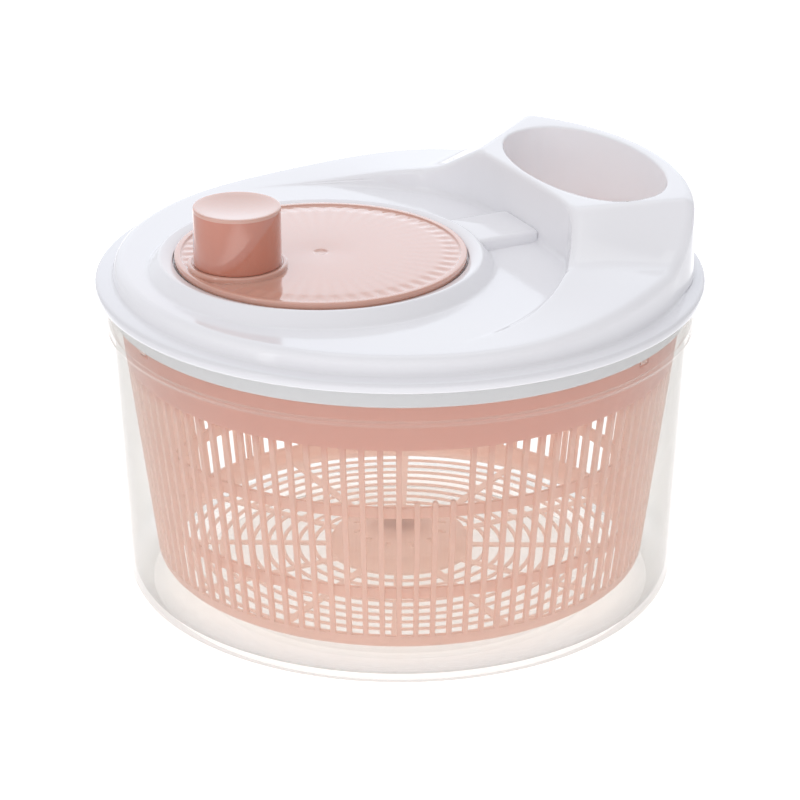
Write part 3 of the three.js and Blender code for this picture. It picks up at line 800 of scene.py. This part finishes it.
def height(x, y):
    """The height of the lid's outer band and hump."""
    radius = math.hypot(x, y)
    turn = math.atan2(abs(y), x)
    band = 1 - smooth_step(math.degrees(turn), *BAND_SPAN)
    side = 1 if y > 0 else -1
    across = FAR
    if turn < math.pi / 2:
        across = radius * math.sin(turn - FLANK_TURN[side]) + FLANK_OFFSET[side]
    low = LID_Z + STEP_RISE * (1 - smooth_step(math.degrees(turn), *STEP_SPAN))
    low += (BAND_RISE + BAND_CROWN * (CROWN_R - radius)) * band
    high = HUMP_TOP + HUMP_TILT * (x - FACE_X)
    return low + (high - low) * flank_climb(across)


def soft_min(a, b, width):
    """The smaller of two values, rounded off where they are closer than the width."""
    overlap = max(width - abs(a - b), 0)
    return min(a, b) - overlap * overlap / (4 * width)


def recess_edge(turn):
    """Distance from the lid's axis to the wall round the recess, at a polar angle in radians."""
    across = CRANK_X * math.cos(turn)
    circle = across + math.sqrt(across ** 2 + RECESS_R ** 2 - CRANK_X ** 2)
    straight = FACE_X / math.cos(turn) if math.cos(turn) > 0.1 else FAR
    return soft_min(soft_min(circle, straight, 5), RECESS_LIMIT, 8)


HUMP_COLUMNS = 20
REST_COLUMNS = 60
# Distances from the crease line of the flank's grid lines: close together at the crest, then wider apart.
CREASE = 18.0
CREST_LINES = 6
CREST_PITCH = 0.85
FOOT_LINES = 15
FOOT_LINE = 54
CREST_LINE = CREASE + CREST_PITCH * (CREST_LINES - 1)
FLANK_LINES = [CREASE + CREST_PITCH * k for k in range(CREST_LINES)]
FLANK_LINES += [CREST_LINE + (FOOT_LINE - CREST_LINE) * k / FOOT_LINES for k in range(1, FOOT_LINES + 1)]


def crease_angle(distance, radius, side):
    """The polar angle, at a radius, of the line at a distance from a flank's crease line."""
    return FLANK_TURN[side] + math.asin((distance - FLANK_OFFSET[side]) / radius)


def column_angle(label, radius):
    """The polar angle of a grid column at a radius. A label is a side, a zone and a place in it."""
    side, zone, place = label
    radius = min(max(radius, FACE_X), CROWN_FLAT)
    if zone == "hump":
        turn = place * crease_angle(CREASE, radius, side)
    elif zone == "flank":
        turn = crease_angle(place, radius, side)
    else:
        start = crease_angle(FLANK_LINES[-1], radius, side)
        turn = start + (math.pi - start) * place
    return side * turn


def lid_labels():
    """The labels of all grid columns, in their order round the lid."""
    half = [("hump", k / HUMP_COLUMNS) for k in range(HUMP_COLUMNS)]
    half += [("flank", line) for line in FLANK_LINES]
    half += [("rest", k / REST_COLUMNS) for k in range(1, REST_COLUMNS + 1)]
    right = [(1, zone, place) for zone, place in half]
    left = [(-1, zone, place) for zone, place in half[1:-1]]
    return list(reversed(left)) + right


def ceiling(place):
    """The height of the band's underside."""
    return max(UNDER_Z, height(*place) - SHELL)


def lid_column(label):
    """One column of the lid's grid: its points, and the index where the top and the ceiling start and end.

    The path runs from the crank's hole out over the top, round the edge and back in under the lid.
    """
    zone, place = label[1:]
    radius = 90.0
    for _ in range(8):
        radius = recess_edge(abs(column_angle(label, radius)))
    # The wall's curves are narrower where the recess comes close to the lid's edge.
    turn = abs(column_angle(label, radius))
    narrow = 1 - NARROW_BY * smooth_step(math.degrees(turn), *NARROW_SPAN)
    steep = zone == "hump" or (zone == "flank" and place < STEEP_END)
    crest_run, crest_rise = CREST_SIZES["rest" if zone == "flank" and place >= FLANK_END else zone]
    crest_run *= narrow
    wall_run = (0.4 if steep else 0.8) * narrow
    foot_run = WALL_FOOT * narrow

    def at(r):
        angle = column_angle(label, r)
        return r * math.cos(angle), r * math.sin(angle)

    # The lid's outer edge stands out a little round the hump.
    bulge = CROWN_BULGE if zone == "hump" else 0.0
    if zone == "flank":
        bulge = CROWN_BULGE * (1 - smooth_step(place, FLANK_SPAN[0], BULGE_END))

    foot_x, foot_y = at(radius)
    about = math.atan2(foot_y, foot_x - CRANK_X)

    def round_crank(r):
        return CRANK_X + r * math.cos(about), r * math.sin(about)

    # The platform and the floor of the recess.
    path = [(*round_crank(r), z) for r, z in PLATFORM]
    inner = path[-1]
    outer = at(radius - foot_run)
    for k in range(1, FLOOR_ROWS + 1):
        t = k / (FLOOR_ROWS + 1)
        path.append((inner[0] + (outer[0] - inner[0]) * t, inner[1] + (outer[1] - inner[1]) * t, LID_Z))

    # The wall up to the band, with a rounded foot and a rounded crest.
    crest = radius + wall_run + crest_run
    crest_top = height(*at(crest))
    foot_rise = min(WALL_FOOT, (crest_top - LID_Z) * CURVE_SHARE)
    crest_rise = min(crest_rise, (crest_top - LID_Z) * CURVE_SHARE)
    for a in quarter(ARC_ROWS):
        path.append((*at(radius - foot_run * (1 - math.sin(a))), LID_Z + foot_rise * (1 - math.cos(a))))
    for a in quarter(ARC_ROWS):
        r = radius + wall_run + crest_run * (1 - math.cos(a))
        path.append((*at(r), crest_top - crest_rise * (1 - math.sin(a))))

    # The band or the hump's top, then the crown down to the flange.
    top_start = len(path) - 1
    for k in range(1, BAND_ROWS + 1):
        spot = at(crest + (CROWN_FLAT + bulge - crest) * k / BAND_ROWS)
        path.append((*spot, height(*spot)))
    top_end = len(path) - 1
    crown_top = path[-1][2]
    for a in quarter(CROWN_ROWS)[1:]:
        r = CROWN_FLAT + bulge + (CROWN_R - 0.2 - CROWN_FLAT) * math.sin(a)
        path.append((*at(r), crown_top - CROWN_DROP * (1 - math.cos(a))))
    for r, z in FLANGE:
        on_crown = r < CROWN_R + 0.5 and z > CROWN_FOOT_Z
        path.append((*at(r + (bulge if on_crown else 0)), z))

    # Back in under the band, and down the inside of the wall.
    edge_top = ceiling(at(CEILING_R))
    for a in quarter(3):
        path.append((*at(CEILING_R + bulge + 2.4 * math.cos(a)), edge_top - 2.2 * (1 - math.sin(a))))
    under_start = len(path) - 1
    under_r = radius + wall_run + (1.1 if steep else 2.0) * narrow
    for k in range(1, BAND_ROWS + 1):
        spot = at(CEILING_R + bulge + (under_r + 0.4 - CEILING_R - bulge) * k / BAND_ROWS)
        path.append((*spot, ceiling(spot)))
    under_end = len(path) - 1
    path.append((*at(under_r), max(UNDER_Z, path[-1][2] - 0.6)))

    # The underside of the recess and of the platform.
    start = at(under_r - 0.3 * narrow)
    path.append((*start, UNDER_Z))
    end = round_crank(PLATFORM_FOOT)
    for k in range(1, 4):
        t = k / 3
        path.append((start[0] + (end[0] - start[0]) * t, start[1] + (end[1] - start[1]) * t, UNDER_Z))
    path.append((*round_crank(65.2), UNDER_Z))
    path.append((*round_crank(64.6), PLATFORM_HOLE_Z))
    return path, (top_start, top_end, under_start, under_end)


def chute_place(angle, z, offset=0.0):
    """A point of the chute's wall: an ellipse whose side towards the crank is flattened."""
    scale = 1 - CHUTE_TAPER * (HUMP_TOP - z) / (HUMP_TOP - CHUTE_FOOT_Z)
    cosine = math.cos(angle)
    square = CHUTE_SQUARE[0] if cosine < 0 else CHUTE_SQUARE[1]
    reach = abs(cosine) ** square * (1 if cosine > 0 else -1)
    return (
        CHUTE_X + (CHUTE_HALF[0] * scale + offset) * reach,
        (CHUTE_HALF[1] * scale + offset) * math.sin(angle),
    )


def lid_shell(skin):
    """The lid's shell: a closed grid of columns, with the chute through the hump."""
    labels = lid_labels()
    columns = []
    for label in labels:
        path, marks = lid_column(label)
        columns.append([skin.add(*p) for p in path])
    top_start, top_end, under_start, under_end = marks

    count = len(columns)
    length = len(columns[0])
    hump_columns = [i for i, label in enumerate(labels) if label[1] == "hump" or label[2] == CREASE]
    first, last = hump_columns[0], hump_columns[-1]
    for i in range(count):
        k = (i + 1) % count
        over_hump = first <= i < last
        for j in range(length):
            if over_hump and (top_start <= j < top_end or under_start <= j < under_end):
                continue
            n = (j + 1) % length
            skin.quad(columns[i][j], columns[k][j], columns[k][n], columns[i][n])

    def loop_round(inner, outer):
        """The points round the gap that the grid leaves over the hump."""
        step = 1 if outer > inner else -1
        loop = [columns[i][inner] for i in range(first, last + 1)]
        loop += [columns[last][j] for j in range(inner + step, outer, step)]
        loop += [columns[i][outer] for i in range(last, first - 1, -1)]
        loop += [columns[first][j] for j in range(outer - step, inner, -step)]
        return loop

    top_loop = loop_round(top_start, top_end)
    under_loop = loop_round(under_end, under_start)
    angles = []
    for index in top_loop:
        x, y = skin.flat_place(index)
        angles.append(math.atan2(y / CHUTE_HALF[1], (x - CHUTE_X) / CHUTE_HALF[0]))

    def spread(loop, offset, count, drop):
        """Rings of points from a boundary loop in to the chute's opening."""
        made = [loop]
        for k in range(1, count + 1):
            ring = []
            for index, angle in zip(loop, angles):
                x, y = skin.flat_place(index)
                end = chute_place(angle, HUMP_TOP - 1, offset)
                t = k / count
                place = (x + (end[0] - x) * t, y + (end[1] - y) * t)
                ring.append(skin.add(*place, height(*place) - drop))
            made.append(ring)
        for one, two in zip(made, made[1:]):
            skin.strip(one, two)
        return made[-1]

    top_ring = spread(top_loop, CHUTE_RIM, 5, 0)
    under_ring = spread(under_loop, CHUTE_WALL, 4, SHELL)

    # The chute: a rounded rim, the wall down to its foot, and back up to the underside.
    rings = [top_ring]
    for a in quarter(3)[1:]:
        ring = []
        for angle in angles:
            place = chute_place(angle, HUMP_TOP - 1, CHUTE_RIM * (1 - math.sin(a)))
            ring.append(skin.add(*place, height(*place) - CHUTE_RIM * (1 - math.cos(a))))
        rings.append(ring)
    for k in range(1, 5):
        z = CHUTE_WALL_Z + (CHUTE_FOOT_Z - CHUTE_WALL_Z) * k / 4
        rings.append([skin.add(*chute_place(angle, z), z) for angle in angles])
    outside = [chute_place(angle, CHUTE_FOOT_Z, CHUTE_WALL) for angle in angles]
    rings.append([skin.add(*place, CHUTE_FOOT_Z) for place in outside])
    rings.append(under_ring)
    for one, two in zip(rings, rings[1:]):
        skin.strip(one, two)


# The raised pad between the platform and the hump: its outline, its middle, and its rounded top edge as
# how far each ring grows and its height.
PAD_START = 28
PAD_HALF_WIDTH = 14.5
PAD_MIDDLE = 43
PAD_GROWTH = (14.6, 14)
PAD_EDGE = [
    (0, LID_Z - 1.5),
    (0, 146.3),
    (-0.15, 146.9),
    (-0.55, 147.45),
    (-1.1, 147.85),
    (-1.8, 148.0),
]


def pad(skin):
    """A closed block with a rounded outline and a rounded top edge."""
    outline = rounded([
        (PAD_START, -PAD_HALF_WIDTH, 1),
        (FACE_X + 0.6, -PAD_HALF_WIDTH, 2.5),
        (FACE_X + 0.6, PAD_HALF_WIDTH, 2.5),
        (PAD_START, PAD_HALF_WIDTH, 1),
    ], steps=4)
    rings = []
    for grow, z in PAD_EDGE:
        ring = []
        for x, y in outline:
            grown_x = (x - PAD_MIDDLE) * (1 + grow / PAD_GROWTH[0]) + PAD_MIDDLE
            grown_y = y * (1 + grow / PAD_GROWTH[1])
            ring.append(skin.add(grown_x, grown_y, z))
        rings.append(ring)
    for one, two in zip(rings, rings[1:]):
        skin.strip(one, two)
    skin.faces.append(list(rings[0]))
    skin.faces.append(list(rings[-1]))


def lid():
    """The shell with its pad, and under it the pinion's journal and the posts for the cover's screws."""
    skin = Skin()
    lid_shell(skin)
    pad(skin)
    journal = rounded([(0, 134.6), (2.7, 134.6, 0.4), (2.7, 141), (0, 141)], closed=False)
    skin.turned(journal, segments=32, closed=False)
    post = rounded([(1.4, 132.5, 0.2), (4, 132.5, 0.4), (4, 142), (1.4, 142)])
    for i in range(1, 5):
        low, high = span(f"cover_screw_{i}")
        skin.turned(post, centre=((low[0] + high[0]) / 2, (low[1] + high[1]) / 2), segments=32)
    skin.build("lid_moulding", WHITE_GLOSS, "lid", ["lid_shell"], sharp=32)


# ---- crank and knob -------------------------------------------------------------------------------------

DISC_R = disc_high[0] - CRANK_X
PLATE_Z = 149.3
DISC_RIM_Z = 149.65
FLUTES = 54
FLUTE_ROWS = 9
FLUTE_START = 49.6
FLUTE_PITCH = 0.83
FLUTE_DEPTH = 0.28
HUB_HEX_R = 5.4
HUB_HEX_SPAN = (134.1, 140.4)
COLLAR_BORE_R = 5.35
COLLAR_OUTER_R = 20.2
COLLAR_Z = (148.0, 151.4)


def crank():
    """A disc with fine flutes inside its rim, a dimple in the middle and a collar round the knob."""
    skin = Skin()
    plate = [
        (0, PLATE_Z - 0.5),
        (1.6, PLATE_Z - 0.5),
        (2.4, PLATE_Z - 0.35),
        (2.9, PLATE_Z - 0.05),
        (3.6, PLATE_Z),
        (20, PLATE_Z),
        (48, PLATE_Z),
    ]
    fluted = [(FLUTE_START + FLUTE_PITCH * k, PLATE_Z - 0.04 * k) for k in range(FLUTE_ROWS)]
    rim = rounded([
        (56.4, PLATE_Z - 0.3),
        (56.9, DISC_RIM_Z, 0.3),
        (DISC_R, DISC_RIM_Z, 0.7),
        (DISC_R, 146.5, 0.6),
        (6, 146.6, 0.4),
        (6, 139.9, 0.3),
        (2.2, 139.9),
        (2.2, 145.2),
        (0, 145.2),
    ], steps=4, closed=False)

    def dip(index, angle):
        """How deep a flute is at a point of the profile and an angle round the disc."""
        row = index - len(plate)
        if not 0 <= row < FLUTE_ROWS:
            return 0
        share = math.sin(math.pi * (row + 0.5) / FLUTE_ROWS) ** 0.6
        return FLUTE_DEPTH * share * (0.5 - 0.5 * math.cos(FLUTES * angle))

    skin.turned(plate + fluted + rim, centre=(CRANK_X, 0), segments=FLUTES * 8, closed=False, dip=dip)
    collar = rounded([
        (COLLAR_BORE_R, COLLAR_Z[0]),
        (COLLAR_OUTER_R, COLLAR_Z[0]),
        (COLLAR_OUTER_R, COLLAR_Z[1], 0.9),
        (18.7, COLLAR_Z[1], 0.4),
        (18.2, COLLAR_Z[1] - 0.3, 0.2),
        (COLLAR_BORE_R, COLLAR_Z[1] - 0.3),
    ], steps=4)
    skin.turned(collar, centre=(KNOB_X, 0))
    corners = [math.pi * k / 3 for k in range(6)]
    hexagon = [(CRANK_X + HUB_HEX_R * math.cos(a), HUB_HEX_R * math.sin(a)) for a in corners]
    skin.prism(hexagon, *HUB_HEX_SPAN)
    skin.build("crank_fluted", DISC_PINK, "crank", ["crank_disc"], sharp=40)


KNOB_R = knob_high[0] - KNOB_X
KNOB_TOP = knob_high[2]
KNOB_DISH = 1.3
KNOB_FOOT_Z = 151.25
KNOB_STEM_R = 5
KNOB_STEM_Z = 149.45
KNOB_BORE_R = 1.9
KNOB_BORE_TOP = 161


def knob():
    """A round cap with a dished top, on a stem with a bore for its screw."""
    lip = KNOB_R - 1.5
    curve = (lip ** 2 + KNOB_DISH ** 2) / (2 * KNOB_DISH)
    dished = []
    for k in range(10):
        radius = lip * k / 10
        dished.append((radius, KNOB_TOP - KNOB_DISH + curve - math.sqrt(curve ** 2 - radius ** 2)))
    under_z = KNOB_TOP - KNOB_DISH - 2
    rest = rounded([
        (lip * 0.93, dished[-1][1] + 0.05),
        (lip + 0.2, KNOB_TOP - 0.05, 0.5),
        (KNOB_R - 0.15, KNOB_TOP - 0.1, 0.55),
        (KNOB_R, KNOB_FOOT_Z, 0.2),
        (KNOB_R - 2, KNOB_FOOT_Z, 0.4),
        (KNOB_R - 2.4, under_z, 1.2),
        (KNOB_STEM_R, under_z, 1),
        (KNOB_STEM_R, KNOB_STEM_Z, 0.3),
        (KNOB_BORE_R, KNOB_STEM_Z),
        (KNOB_BORE_R, KNOB_BORE_TOP),
        (0, KNOB_BORE_TOP),
    ], closed=False)
    skin = Skin()
    skin.turned(dished + rest, centre=(KNOB_X, 0), segments=128, closed=False)
    skin.build("knob_cap", KNOB_PINK, "knob", ["knob"], sharp=45)


bowl()
basket()
lid()
crank()
knob()


# ---- stage, light and camera ----------------------------------------------------------------------------

VIEW_TURN = math.radians(27)
VIEW_TILT = 0.394045
VIEW_BACK = 1.4
VIEW_HEIGHT = 0.6595
LENS = 163.67

FLOOR_HALF = 6.0
# The middle and the half sizes, in metres, of the part of the floor that glows softly like a light table.
LIT_MIDDLE = 0.35
LIT_HALF = (0.36, 1.25)
# The soft edge of that part, as shares of its half sizes, and the glow inside and outside of it.
LIT_EDGE = (0.75, 1.25)
LIT_GLOW = (0.8, 0.0)

# The even light level of the studio, and its two soft patches: direction, tightness and strength.
AMBIENT = 0.505
FRONT_PATCH = ((-0.6, -0.55, 0.6), 2, 0.6)
COOL_PATCH = ((0.43, 0.84, 0.33), 3.5, 0.95)


def floor():
    """A wide sheet of white paper, with the soft glow round the object."""
    look = Look("floor_paper")
    mottle(look, linear(252, 252, 252), linear(250, 250, 250), 2, (0.5, 0.6))
    look.shader.inputs["Emission Color"].default_value = (1, 1, 1, 1)
    table = look.add("Mapping", vector_type="TEXTURE")
    away = (LIT_MIDDLE * math.sin(VIEW_TURN), LIT_MIDDLE * math.cos(VIEW_TURN), 0)
    table.inputs["Location"].default_value = away
    table.inputs["Rotation"].default_value = (0, 0, -VIEW_TURN)
    table.inputs["Scale"].default_value = (*LIT_HALF, 1)
    look.feed(table.inputs["Vector"], look.place)
    reach = look.length(table.outputs["Vector"])
    look.feed(look.shader.inputs["Emission Strength"], look.fade(reach, LIT_EDGE, LIT_GLOW, smooth=True))
    mesh = bpy.data.meshes.new("floor")
    corners = [(x * FLOOR_HALF, y * FLOOR_HALF, 0) for x, y in ((-1, -1), (1, -1), (1, 1), (-1, 1))]
    mesh.from_pydata(corners, [], [(0, 1, 2, 3)])
    mesh.materials.append(look.owner)
    obj = bpy.data.objects.new("floor", mesh)
    bpy.context.scene.collection.objects.link(obj)


def softbox(name, place, aim, size, power):
    """A soft rectangular light at a place, turned towards its aim."""
    light = bpy.data.lights.new(name, "AREA")
    light.shape = "RECTANGLE"
    light.size, light.size_y = size
    light.energy = power
    obj = bpy.data.objects.new(name, light)
    obj.location = place
    obj.rotation_euler = (Vector(aim) - Vector(place)).to_track_quat("-Z", "Y").to_euler()
    bpy.context.scene.collection.objects.link(obj)


def world():
    """An even light with a bright patch at the front left, and a cool patch behind the object."""
    sky = Graph(bpy.data.worlds.new("studio"))
    place = sky.add("TexCoord").outputs["Generated"]

    def lobe(towards, power, amount, level_around):
        """The strength of a soft bright patch in one direction over an even light level."""
        along = sky.add("VectorMath", operation="DOT_PRODUCT")
        sky.feed(along.inputs[0], place)
        along.inputs[1].default_value = Vector(towards).normalized()
        patch = sky.math("POWER", sky.math("MAXIMUM", along.outputs["Value"], 0), power)
        return sky.math("MULTIPLY_ADD", patch, amount, level_around)

    even = sky.nodes["Background"]
    even.inputs["Color"].default_value = (1.0, 0.99, 1.005, 1)
    sky.feed(even.inputs["Strength"], lobe(*FRONT_PATCH, AMBIENT))
    cool = sky.add("Background")
    cool.inputs["Color"].default_value = (0.93, 1.0, 1.1, 1)
    sky.feed(cool.inputs["Strength"], lobe(*COOL_PATCH, 0.0))
    both = sky.add("AddShader")
    sky.feed(both.inputs[0], even.outputs["Background"])
    sky.feed(both.inputs[1], cool.outputs["Background"])
    sky.feed(sky.nodes["World Output"].inputs["Surface"], both.outputs["Shader"])
    bpy.context.scene.world = sky.owner


def camera():
    """The photo's point of view, fitted to the outlines of the object."""
    lens = bpy.data.cameras.new("camera")
    lens.lens = LENS
    lens.sensor_width = 36
    lens.clip_start = 0.05
    lens.clip_end = 30
    obj = bpy.data.objects.new("camera", lens)
    obj.location = (-VIEW_BACK * math.sin(VIEW_TURN), -VIEW_BACK * math.cos(VIEW_TURN), VIEW_HEIGHT)
    obj.rotation_euler = (math.pi / 2 - VIEW_TILT, 0, -VIEW_TURN)
    bpy.context.scene.collection.objects.link(obj)
    bpy.context.scene.camera = obj


camera()
floor()
world()
softbox("key", (0.3, 0.5, 1.7), (0, 0, 0.1), (0.8, 0.8), 1.5)
softbox("side_right", (1.5, -0.7, 0.7), (0, 0, 0.08), (0.15, 1.2), 0.1)
softbox("side_left", (-1.6, -0.35, 0.55), (0, 0, 0.1), (0.2, 0.9), 0.9)

scene = bpy.context.scene
scene.view_settings.view_transform = "Standard"
scene.view_settings.look = "None"
